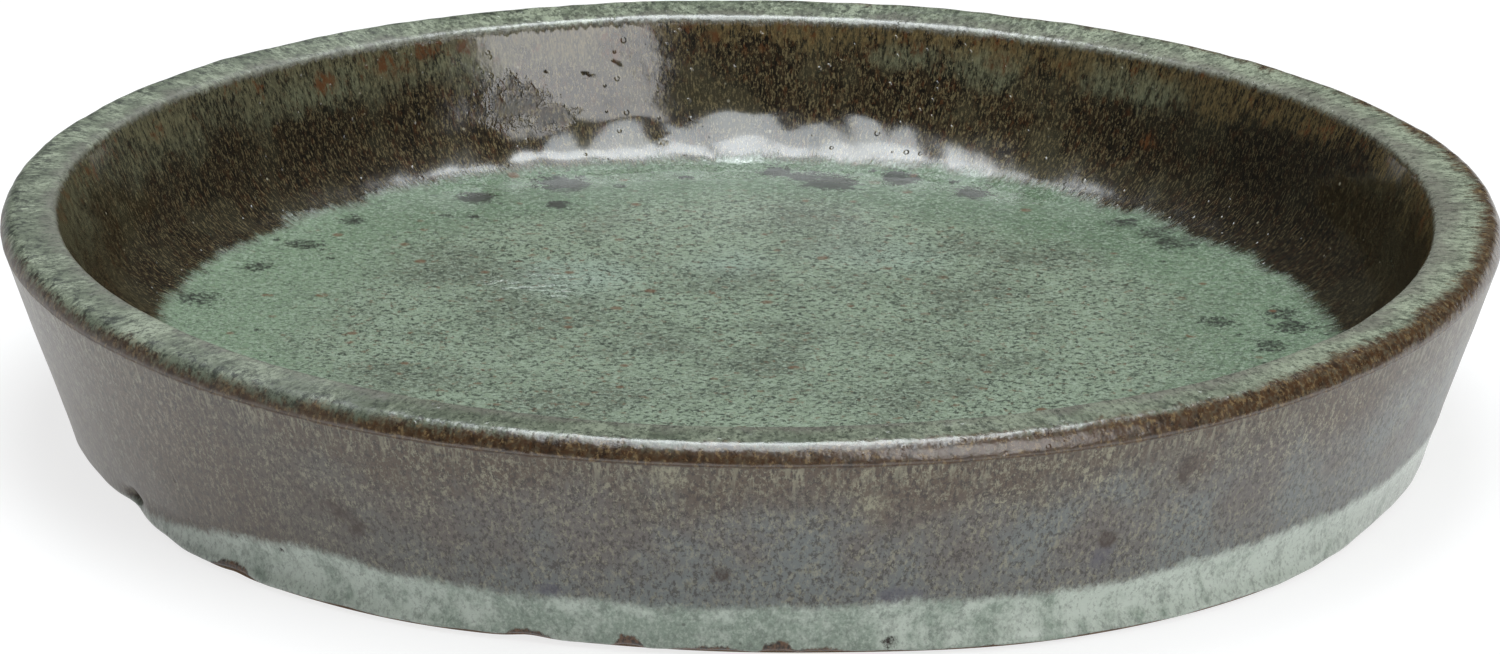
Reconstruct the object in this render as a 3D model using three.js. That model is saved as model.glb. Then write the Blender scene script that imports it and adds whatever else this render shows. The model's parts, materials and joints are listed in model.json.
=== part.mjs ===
// Shallow stoneware plant bowl: one thick turned clay body under five fired coats of glaze.
// Millimetres, +Z up, origin at the centre of the foot on the plane it stands on, front towards -Y.
import * as THREE from 'three';

// Finished sizes of the bowl, measured over the glaze
const RIM_RADIUS = 150; // crisp outer edge of the lip
const HEIGHT = 46.9; // from the table to the flat top of the lip
const WALL_FLARE = 14; // how far the lip overhangs the bottom of the outer wall
const LIP_WIDTH = 12; // from the outer edge of the lip to its inner edge
const LIP_ROUND = 2; // soft inner edge of the lip
const SHOULDER_ROUND = 3.9; // rolled outer shoulder, ending in the crisp edge
const INNER_RUN = 24.5; // from the lip's inner edge in to the flat floor
const COVE_RADIUS = 19; // hollow between the inner wall and the floor

// Clay body
const FLOOR_THICKNESS = 12; // clay between the floor and the recess below it
const FOOT_RECESS = 4; // hollow that leaves the bowl standing on a ring
const FOOT_RING_WIDTH = 14; // flat standing ring
const RECESS_SLOPE = 4; // run of the ring's inner side
const FOOT_ROUND = 3; // wiped lower edge of the wall

// Glaze coats
const GLAZE = 0.9; // thickness of every coat
const GLAZE_BOND = 0.02; // gap under a coat and at the run line, so that pieces touch without crossing
const POOL_RISE = 1.8; // edge of the floor's celadon pool, above the floor
const BARE_FOOT = 1.4; // unglazed clay below the lowest coat
const BAND_HEIGHT = 10.8; // mean height of the line where the dark wall coat stopped running
const RUN_SWAY = 0.7; // slow swing of that line round the bowl
const RUN_RIPPLE = 0.5; // small tongues on that line
const RUN_TONGUES = 7; // how many tongues there are round the bowl

// Steps of the turned shapes
const SEGMENTS = 72;
const FINE_ARC = 4;
const SMALL_ARC = 3;
const BRIEF_ARC = 1;

const vec = (radius, height) => new THREE.Vector2(radius, height);

// Lines and centres of the section, worked out from the sizes
const edgeHeight = HEIGHT - SHOULDER_ROUND;
const footRadius = RIM_RADIUS - WALL_FLARE;
const lipInnerRadius = RIM_RADIUS - LIP_WIDTH;
const floorRadius = lipInnerRadius - INNER_RUN;
const clayFloor = FOOT_RECESS + FLOOR_THICKNESS;
const floorHeight = clayFloor + GLAZE;

const flareAngle = Math.atan2(WALL_FLARE, edgeHeight);
const wallNormal = vec(Math.cos(flareAngle), -Math.sin(flareAngle));

const shoulderCentre = vec(RIM_RADIUS - SHOULDER_ROUND, edgeHeight);
const lipCentre = vec(lipInnerRadius + LIP_ROUND, HEIGHT - LIP_ROUND);
const coveCentre = vec(floorRadius, floorHeight + COVE_RADIUS);
const footCentre = vec(
  footRadius + (FOOT_ROUND * Math.sin(flareAngle) - GLAZE - FOOT_ROUND) / wallNormal.x,
  FOOT_ROUND,
);

// The inner wall is the straight line that touches the cove on one side and the lip's round on the other.
const coveToLip = lipCentre.clone().sub(coveCentre);
const innerWallAngle = coveToLip.angle() - Math.acos((COVE_RADIUS + LIP_ROUND) / coveToLip.length());
const downAngle = -Math.PI / 2;
const poolAngle = -Math.asin((COVE_RADIUS - POOL_RISE) / COVE_RADIUS);
const glazeStopAngle = -Math.asin((FOOT_ROUND - BARE_FOOT) / (FOOT_ROUND + GLAZE));

// A station is a point on the clay's section and the direction that a coat of unit thickness grows from it.
const onCoat = (station, thickness) => station.clay.clone().addScaledVector(station.out, thickness);

/** Stations along an arc: convex clay lies inside the arc, hollow clay outside it. */
function arcStations(centre, clayRadius, from, to, steps, hollow = false) {
  return Array.from({ length: steps + 1 }, (_, i) => {
    const angle = THREE.MathUtils.lerp(from, to, i / steps);
    const ray = vec(Math.cos(angle), Math.sin(angle));
    return {
      clay: centre.clone().addScaledVector(ray, clayRadius),
      out: ray.multiplyScalar(hollow ? -1 : 1),
    };
  });
}

const coveStations = (from, to, steps) =>
  arcStations(coveCentre, COVE_RADIUS + GLAZE, from, to, steps, true);

const lipStations = (from, to, steps) =>
  arcStations(lipCentre, LIP_ROUND - GLAZE, from, to, steps);

const footStations = (from, to, steps) => arcStations(footCentre, FOOT_ROUND, from, to, steps);

/** The crisp edge under the shoulder, where the coat's two faces meet in a mitre. */
function edgeStation() {
  const shoulderNormal = vec(1, 0);
  const out = shoulderNormal.clone().add(wallNormal).divideScalar(1 + shoulderNormal.dot(wallNormal));
  return { clay: vec(RIM_RADIUS, edgeHeight).addScaledVector(out, -GLAZE), out };
}

/** A station on the outer wall at a finished height. */
function wallStation(height) {
  const radius = footRadius + height * Math.tan(flareAngle);
  return { clay: vec(radius, height).addScaledVector(wallNormal, -GLAZE), out: wallNormal };
}

/** Height of the dark coat's run line at an angle round the bowl. */
const runLine = (turn) =>
  BAND_HEIGHT + RUN_SWAY * Math.sin(turn) + RUN_RIPPLE * Math.sin(RUN_TONGUES * turn);

// Stretches of the section that each coat covers, from the floor's centre over the lip down to the foot
const lipInnerAngle = innerWallAngle + Math.PI;
const stretches = {
  floor: () => [
    { clay: vec(0, clayFloor), out: vec(0, 1) },
    ...coveStations(downAngle, poolAngle, FINE_ARC),
  ],
  innerWall: () => [
    ...coveStations(poolAngle, innerWallAngle, FINE_ARC),
    lipStations(lipInnerAngle, Math.PI / 2, FINE_ARC)[0],
  ],
  rim: () => [
    ...lipStations(lipInnerAngle, Math.PI / 2, FINE_ARC),
    ...arcStations(shoulderCentre, SHOULDER_ROUND - GLAZE, Math.PI / 2, 0, FINE_ARC).slice(0, -1),
    edgeStation(),
  ],
  outerWall: (turn) => [edgeStation(), wallStation(runLine(turn))],
  footBand: (turn) => [
    wallStation(runLine(turn) - GLAZE_BOND),
    ...footStations(-flareAngle, glazeStopAngle, BRIEF_ARC),
  ],
};

/** Turns a section round the Z axis; the section may change with the angle, station by station. */
function turned(sectionAt) {
  const count = sectionAt(0).length;
  const geometry = new THREE.LatheGeometry(sectionAt(0), SEGMENTS);
  const position = geometry.getAttribute('position');
  for (let i = 0; i < position.count; i += 1) {
    const turn = ((Math.floor(i / count) % SEGMENTS) * 2 * Math.PI) / SEGMENTS;
    const { x: radius, y: height } = sectionAt(turn)[i % count];
    position.setXYZ(i, radius * Math.sin(turn), height, radius * Math.cos(turn));
  }
  return geometry.rotateX(Math.PI / 2);
}

/** Section of the clay body: up the recess and round the foot, then back over the lip to the floor. */
function claySection() {
  const ringInner = footCentre.x - FOOT_RING_WIDTH;
  const glazed = [
    ...stretches.floor(),
    ...stretches.innerWall().slice(1),
    ...stretches.rim().slice(1),
    ...footStations(-flareAngle, glazeStopAngle, BRIEF_ARC),
  ];
  const bareFoot = footStations(glazeStopAngle, downAngle, SMALL_ARC).slice(1);
  const overTop = [...glazed, ...bareFoot].map((station) => station.clay);
  return [
    vec(0, FOOT_RECESS),
    vec(ringInner - RECESS_SLOPE, FOOT_RECESS),
    vec(ringInner, 0),
    ...overTop.reverse(),
  ];
}

/** Closed section of a coat over one stretch of the clay. */
function coatSection(stretch) {
  const under = stretch.map((station) => onCoat(station, GLAZE_BOND));
  const over = stretch.map((station) => onCoat(station, GLAZE));
  const section = [...under, ...over.reverse()];
  const startsOnAxis = section[0].x === 0;
  return startsOnAxis ? section : [...section, section[0].clone()];
}

const finishes = {
  bareClay: { color: 0x6a4a34, roughness: 0.85 },
  celadonPool: { color: 0x7f9b86, roughness: 0.25 },
  darkIron: { color: 0x3a3024, roughness: 0.18 },
  celadonOverIron: { color: 0x6a7d68, roughness: 0.25 },
  mauveIron: { color: 0x6f6660, roughness: 0.25 },
  paleCeladon: { color: 0x9db5a4, roughness: 0.3 },
};

function makePiece(name, geometry, finish) {
  const piece = new THREE.Mesh(geometry, new THREE.MeshStandardMaterial({ ...finish, metalness: 0 }));
  piece.name = name;
  return piece;
}

const makeCoat = (name, stretch, finish) =>
  makePiece(name, turned((turn) => coatSection(stretch(turn))), finish);

const bowl = new THREE.Group();
bowl.add(
  makePiece('clay_body', turned(claySection), finishes.bareClay),
  makeCoat('floor_glaze', stretches.floor, finishes.celadonPool),
  makeCoat('inner_wall_glaze', stretches.innerWall, finishes.darkIron),
  makeCoat('rim_glaze', stretches.rim, finishes.celadonOverIron),
  makeCoat('outer_wall_glaze', stretches.outerWall, finishes.mauveIron),
  makeCoat('foot_band_glaze', stretches.footBand, finishes.paleCeladon),
);

export default bowl;
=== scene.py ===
"""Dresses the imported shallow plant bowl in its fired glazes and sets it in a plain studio.

Lengths are metres. A turn is an angle round the bowl in degrees, from the front (-Y) towards the
right (+X). "Along" is the distance over the finished surface, from the middle of the floor, up the
inner wall, over the lip and down the outer wall to the foot.
"""

from __future__ import annotations

import json
import logging
import math
from dataclasses import dataclass
from enum import Enum
from functools import reduce
from typing import Any, Sequence, Union

import bpy
import numpy as np
from mathutils import Matrix, Vector, noise

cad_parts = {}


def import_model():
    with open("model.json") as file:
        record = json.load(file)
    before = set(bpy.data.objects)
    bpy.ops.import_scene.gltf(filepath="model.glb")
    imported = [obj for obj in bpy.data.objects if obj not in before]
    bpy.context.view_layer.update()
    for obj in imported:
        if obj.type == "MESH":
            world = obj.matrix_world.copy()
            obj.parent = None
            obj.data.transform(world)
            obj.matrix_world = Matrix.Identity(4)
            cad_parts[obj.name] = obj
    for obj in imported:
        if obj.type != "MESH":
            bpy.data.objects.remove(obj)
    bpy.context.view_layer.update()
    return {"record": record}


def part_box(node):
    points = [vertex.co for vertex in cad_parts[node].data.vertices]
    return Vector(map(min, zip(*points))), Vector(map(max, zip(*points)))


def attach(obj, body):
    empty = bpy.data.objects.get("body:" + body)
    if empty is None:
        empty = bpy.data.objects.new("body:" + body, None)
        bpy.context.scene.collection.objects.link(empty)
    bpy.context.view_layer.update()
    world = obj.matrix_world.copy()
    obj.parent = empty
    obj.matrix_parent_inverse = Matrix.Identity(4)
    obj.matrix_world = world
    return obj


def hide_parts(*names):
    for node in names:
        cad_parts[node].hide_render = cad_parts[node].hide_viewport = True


LOG = logging.getLogger("plant_bowl")
BODY = "root"
UNROLLED = "unrolled"  # carried by a coat's points: their place round the rim and their distance along
BELOW_RUN = "below_run"  # how far a point lies below the line where the dark glaze stopped
BARE = "bare"  # how far it lies inside a chip, above zero
BAKE_MAP = "OFBake"
ARC_POINTS = 60
EYE = 0.0012  # radius of the small fan of faces in the middle of a turned mesh

Colour = tuple[float, float, float]
Place = tuple[float, float, float, float]  # turn, distance along or height, half a width and length
Round = tuple[float, float, float]  # on the floor: turn, distance from the middle, half a width
Feed = Union["Shade", bpy.types.NodeSocket, float, Sequence[float]]


class Shade:
    """A shader value that Python expressions work on."""

    def __init__(self, bench: Bench, socket: bpy.types.NodeSocket) -> None:
        """Wraps one output socket of a bench's nodes."""
        self.bench = bench
        self.socket = socket

    def __add__(self, other: Feed) -> Shade:
        """Sum of two values."""
        return self.bench.math("ADD", self, other)

    def __radd__(self, other: Feed) -> Shade:
        """Sum of a number and a value."""
        return self.bench.math("ADD", other, self)

    def __sub__(self, other: Feed) -> Shade:
        """Difference of two values."""
        return self.bench.math("SUBTRACT", self, other)

    def __rsub__(self, other: Feed) -> Shade:
        """Difference of a number and a value."""
        return self.bench.math("SUBTRACT", other, self)

    def __mul__(self, other: Feed) -> Shade:
        """Product of two values."""
        return self.bench.math("MULTIPLY", self, other)

    def __rmul__(self, other: Feed) -> Shade:
        """Product of a number and a value."""
        return self.bench.math("MULTIPLY", other, self)

    def at_least(self, other: Feed) -> Shade:
        """The larger of two values."""
        return self.bench.math("MAXIMUM", self, other)

    def smooth(self, low: float, high: float) -> Shade:
        """A soft step from 0 to 1.

        Args:
            low: The value at which the step gives 0.
            high: The value at which it gives 1; below low, the step falls.

        Returns:
            The stepped value.
        """
        if low > high:
            return 1 - self.smooth(high, low)
        node = self.bench.node(
            "ShaderNodeMapRange",
            {"interpolation_type": "SMOOTHSTEP"},
            {"Value": self, "From Min": low, "From Max": high},
        )
        return Shade(self.bench, node.outputs["Result"])


class Bench:
    """One node tree, and the ways to add nodes to it."""

    def __init__(self, tree: bpy.types.NodeTree) -> None:
        """Empties the tree."""
        self.tree = tree
        tree.nodes.clear()

    def node(self, kind: str, settings: dict[str, Any] | None = None,
             feeds: dict[str | int, Feed] | None = None) -> bpy.types.Node:
        """Adds one node.

        Args:
            kind: The node's type.
            settings: Its own settings, set before its sockets.
            feeds: Values or links for its input sockets, by name or place.

        Returns:
            The new node.
        """
        node = self.tree.nodes.new(kind)
        for name, value in (settings or {}).items():
            setattr(node, name, value)
        for key, feed in (feeds or {}).items():
            socket = node.inputs[key]
            source = feed.socket if isinstance(feed, Shade) else feed
            if isinstance(source, bpy.types.NodeSocket):
                self.tree.links.new(source, socket)
            elif isinstance(source, (int, float)):
                socket.default_value = source
            else:
                wide = len(socket.default_value) == 4 and len(source) == 3
                socket.default_value = (*source, 1.0) if wide else tuple(source)
        return node

    def math(self, operation: str, *terms: Feed) -> Shade:
        """A Math node on values."""
        node = self.node("ShaderNodeMath", {"operation": operation}, dict(enumerate(terms)))
        return Shade(self, node.outputs[0])

    def mix(self, share: Feed, under: Feed, over: Feed) -> bpy.types.NodeSocket:
        """Lays one colour over another by a share."""
        feeds = {"Factor": share, 6: under, 7: over}
        return self.node("ShaderNodeMix", {"data_type": "RGBA"}, feeds).outputs[2]

    def stretch(self, vector: Feed, scale: Sequence[float],
                offset: Sequence[float]) -> bpy.types.NodeSocket:
        """Scales a vector along each axis, then moves it."""
        feeds = {0: vector, 1: scale, 2: offset}
        return self.node("ShaderNodeVectorMath", {"operation": "MULTIPLY_ADD"}, feeds).outputs[0]

    def clouds(self, place: Feed, size: float, detail: float, harsh: float, bend: float = 0.0) -> Shade:
        """Soft noise.

        Args:
            place: The coordinates that it lies on.
            size: Width of a lump.
            detail: Octaves of smaller lumps.
            harsh: How strong the smaller lumps are.
            bend: How far the lumps are bent.

        Returns:
            A value about 0.5.
        """
        node = self.node("ShaderNodeTexNoise", {}, {
            "Vector": place, "Scale": 1 / size, "Detail": detail, "Roughness": harsh, "Distortion": bend,
        })
        return Shade(self, node.outputs[0])

    def surface(self, shader: bpy.types.Node, output: str = "ShaderNodeOutputMaterial") -> None:
        """Ends the tree in a shader."""
        self.node(output, feeds={"Surface": shader.outputs[0]})

    def fired(self, height: Shade, feeds: dict[str, Feed]) -> None:
        """Ends a material in a shader with an uneven skin.

        Args:
            height: Height of the skin.
            feeds: Values or links for the shader's other sockets, by name.
        """
        bump = self.node("ShaderNodeBump", {}, {"Strength": 1.0, "Distance": 1.0, "Height": height})
        bumped = {**feeds, "Normal": bump.outputs["Normal"]}
        self.surface(self.node("ShaderNodeBsdfPrincipled", feeds=bumped))


def new_material(name: str) -> tuple[bpy.types.Material, Bench]:
    """Makes an empty material.

    Args:
        name: The material's name.

    Returns:
        The material and the bench for its nodes.
    """
    material = bpy.data.materials.new(name)
    material.use_nodes = True
    return material, Bench(material.node_tree)


@dataclass(frozen=True)
class Wave:
    """One wave round the bowl."""

    order: int
    size: float
    phase: float

    def at(self, turns: np.ndarray) -> np.ndarray:
        """Height of the wave at turns in radians."""
        return self.size * np.cos(self.order * turns - math.radians(self.phase))


def swing(waves: Sequence[Wave], turns: np.ndarray) -> np.ndarray:
    """Sum of waves at turns in radians, moved down so that it is never above zero."""
    return sum(wave.at(turns) - wave.size for wave in waves)


@dataclass(frozen=True)
class Dent:
    """A hollow in the finished surface, with a raised ring round it where it has one."""

    turn: float
    along: float
    across: float
    down: float
    depth: float
    ring: float = 0.0
    steep: float = 1.4
    ring_middle: float = 1.15
    ring_width: float = 0.3

    def lift(self, turns: np.ndarray, along: np.ndarray, radius: np.ndarray) -> np.ndarray:
        """How far the dent moves the surface outwards.

        Args:
            turns: Angles round the bowl, in radians.
            along: Distances over the surface.
            radius: Distances from the axis.

        Returns:
            The move along the surface's normal.
        """
        apart = np.angle(np.exp(1j * (turns - math.radians(self.turn))))
        reach = np.hypot(radius * apart / self.across, (along - self.along) / self.down)
        hollow = -self.depth * np.exp(-((self.steep * reach) ** 2))
        return hollow + self.ring * np.exp(-((reach - self.ring_middle) / self.ring_width) ** 2)


def ease(share: np.ndarray) -> np.ndarray:
    """A soft step over shares from 0 to 1."""
    held = np.clip(share, 0, 1)
    return held * held * (3 - 2 * held)


def arc(centre: tuple[float, float], radius: float, start: float, end: float) -> np.ndarray:
    """Rows of radius and height on an arc of the section, between two angles in radians."""
    angles = np.linspace(start, end, ARC_POINTS)
    return np.stack([centre[0] + radius * np.cos(angles), centre[1] + radius * np.sin(angles)], 1)


@dataclass(frozen=True)
class Section:
    """Half section of the finished bowl; the first four sizes come from the frame."""

    rim_radius: float
    height: float
    edge_height: float
    floor_height: float
    wall_flare: float = 0.014
    lip_width: float = 0.012
    lip_round: float = 0.002
    inner_run: float = 0.0245
    cove_radius: float = 0.019
    pool_rise: float = 0.0018
    glaze: float = 0.0009
    foot_round: float = 0.003
    foot_ring_width: float = 0.014
    recess_slope: float = 0.004
    recess: float = 0.004
    bare_foot: float = 0.0014
    edge_lean: float = 0.2
    flank_turn: float = 0.61
    shoulder_round: float = 0.0030
    crisp: float = 0.0004
    step: float = 0.0001

    @classmethod
    def from_frame(cls, record: dict[str, Any]) -> Section:
        """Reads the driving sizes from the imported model.

        Args:
            record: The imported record.

        Returns:
            The section.
        """
        low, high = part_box("rim_glaze")
        floor = next(m for m in record["mounts"] if m["name"] == "inside_floor")
        return cls(high.x, high.z, low.z, floor["pos_m"][2])

    @property
    def flare_angle(self) -> float:
        """Lean of the outer wall from upright."""
        return math.atan2(self.wall_flare, self.edge_height)

    @property
    def foot_centre(self) -> tuple[float, float]:
        """Centre of the wiped round at the foot.

        Returns:
            Its radius and height.
        """
        lean = self.flare_angle
        pull = self.foot_round * math.sin(lean) - self.glaze - self.foot_round
        return self.rim_radius - self.wall_flare + pull / math.cos(lean), self.foot_round

    @property
    def stop_angle(self) -> float:
        """Angle on the foot's round at which the lowest coat stops."""
        return -math.asin((self.foot_round - self.bare_foot) / (self.foot_round + self.glaze))

    def stretches(self) -> list[np.ndarray]:
        """Stretches of the finished surface, coat by coat.

        Returns:
            Point rows for the pool, inner wall, lip, outer wall and foot, then for the bare round.
        """
        lip_inner = self.rim_radius - self.lip_width
        cove = (lip_inner - self.inner_run, self.floor_height + self.cove_radius)
        lip = (lip_inner + self.lip_round, self.height - self.lip_round)
        lean, turn, shoulder = self.edge_lean, self.flank_turn, self.shoulder_round
        flank_drop = self.height - self.edge_height - shoulder * (1 - math.sin(turn))
        flank = flank_drop / (math.sin(turn) - math.sin(lean))
        flank_centre = (self.rim_radius - flank * math.cos(lean), self.edge_height - flank * math.sin(lean))
        shoulder_centre = (flank_centre[0] + (flank - shoulder) * math.cos(turn), self.height - shoulder)
        gap = (lip[0] - cove[0], lip[1] - cove[1])
        touch = math.acos((self.cove_radius + self.lip_round) / math.hypot(*gap))
        wall_angle = math.atan2(gap[1], gap[0]) - touch
        pool_angle = -math.asin(1 - self.pool_rise / self.cove_radius)
        upright = math.pi / 2
        foot = self.foot_round + self.glaze
        pool = np.vstack([[[0, self.floor_height]], arc(cove, self.cove_radius, -upright, pool_angle)])
        inner = arc(cove, self.cove_radius, pool_angle, wall_angle)
        rim = np.vstack([
            arc(lip, self.lip_round, wall_angle + math.pi, upright),
            arc(shoulder_centre, shoulder, upright, turn),
            arc(flank_centre, flank, turn, lean)[1:],
        ])
        band = arc(self.foot_centre, foot, -self.flare_angle, self.stop_angle)
        bare = arc(self.foot_centre, foot, self.stop_angle, -upright)
        return [pool, np.vstack([inner, rim[:1]]), rim, np.vstack([rim[-1:], band[:1]]), band, bare]


class Surface:
    """The finished bowl as one sheet of points over turns and distances along the section."""

    def __init__(self, section: Section, hand: HandWork) -> None:
        """Measures the section and keeps the marks of hand work.

        Args:
            section: The ideal section.
            hand: How the made bowl departs from it.
        """
        self.section = section
        self.hand = hand
        rough, ends, length = [], [], 0.0
        for stretch in section.stretches():
            span = np.hypot(*np.diff(stretch, axis=0).T)
            at = np.concatenate([[0.0], np.cumsum(span)])
            even = np.linspace(0.0, at[-1], max(2, int(at[-1] / section.step)))
            points = np.stack([np.interp(even, at, stretch[:, i]) for i in (0, 1)], 1)
            rough.append(np.column_stack([length + even, points])[:-1])
            length += at[-1]
            ends.append(length)
        self.pool, self.lip, self.edge, self.wall_end, self.stop, self.end = ends
        table = np.vstack(rough)
        reach = int(section.crisp / section.step)
        kernel = np.ones(2 * reach + 1) / (2 * reach + 1)
        for column in (1, 2):
            table[reach:-reach, column] = np.convolve(table[:, column], kernel, "valid")
        self.along, self.radius, self.height = table.T
        slope = np.stack([np.gradient(self.radius), np.gradient(self.height)])
        self.out_radius, self.out_height = np.stack([-slope[1], slope[0]]) / np.hypot(*slope)

    def wall_along(self, height: np.ndarray) -> np.ndarray:
        """Distance along the section of a height on the outer wall."""
        share = (self.section.edge_height - height) / (self.section.edge_height - self.section.bare_foot)
        return self.edge + share * (self.stop - self.edge)

    def seam_along(self, turns: np.ndarray) -> np.ndarray:
        """Distance along the section at which the wall's coat meets the foot band's."""
        return self.wall_along(self.hand.seam_height(turns))

    def run_along(self, turns: np.ndarray) -> np.ndarray:
        """Distance along the section at which the dark glaze stopped running."""
        return self.wall_along(self.hand.run_height(turns))

    def stop_along(self, turns: np.ndarray) -> np.ndarray:
        """Distance along the section of the lowest coat's worn end."""
        return self.stop - self.hand.worn(turns)

    def points(self, turns: np.ndarray, along: np.ndarray, sink: float = 0.0) -> np.ndarray:
        """Points of the made surface.

        Args:
            turns: Angles round the bowl, in radians.
            along: Distances over the surface, in the same shape.
            sink: Depth below the surface, for the underside of a coat; smooth where it is more than zero.

        Returns:
            Points, with x, y and z last.
        """
        radius, height, out_r, out_z = (
            np.interp(along, self.along, column)
            for column in (self.radius, self.height, self.out_radius, self.out_height)
        )
        lift = self.hand.lift(turns, along, radius, height, self, sink == 0.0) - sink
        radius = radius + out_r * lift
        inwards, drop = self.hand.sag(turns, along, self)
        radius = radius - inwards
        height = height + out_z * lift - drop
        share = np.clip(height / self.section.height, 0, 1)
        reach = radius / self.section.rim_radius
        radius = radius + reach * share * (swing(self.hand.rim_sway, turns) + self.hand.rim_push.at(turns))
        radius = radius + reach * (1 - share) * sum(wave.at(turns) for wave in self.hand.foot_sway)
        height = height + reach**2 * share * swing(self.hand.rim_lift, turns)
        spread = knocked(self.hand.foot_spread, turns)
        radius = radius + spread * np.clip(1 - height / self.hand.spread_height, 0, 1) ** 2
        rise = knocked(self.hand.foot_knocks, turns)
        height = height + rise * np.clip(1 - height / self.hand.knock_height, 0, 1) ** 2
        return np.stack([radius * np.sin(turns), -radius * np.cos(turns), height], -1)


@dataclass(frozen=True)
class Lumps:
    """Soft lumps of melted glaze: how high and wide they are, and a seed that moves them."""

    height: float
    width: float
    seed: float

    def at(self, points: np.ndarray) -> np.ndarray:
        """How far the lumps lift the surface.

        Args:
            points: Points, with x, y and z last.

        Returns:
            The lift at each point, up or down.
        """
        flat = points.reshape(-1, 3) / self.width + self.seed
        values = [noise.noise(point) for point in flat.tolist()]
        return self.height * np.array(values).reshape(points.shape[:-1])


@dataclass(frozen=True)
class Knock:
    """A place round the bowl that is chipped, worn or pushed."""

    turn: float
    half_width: float
    size: float
    flatness: int = 2

    def at(self, turns: np.ndarray) -> np.ndarray:
        """Size of the knock at turns in radians."""
        apart = np.angle(np.exp(1j * (turns - math.radians(self.turn))))
        return self.size * np.exp(-((apart / math.radians(self.half_width)) ** self.flatness))


def knocked(knocks: Sequence[Knock], turns: np.ndarray) -> np.ndarray:
    """Sum of knocks at turns in radians."""
    return sum(knock.at(turns) for knock in knocks)


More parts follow.
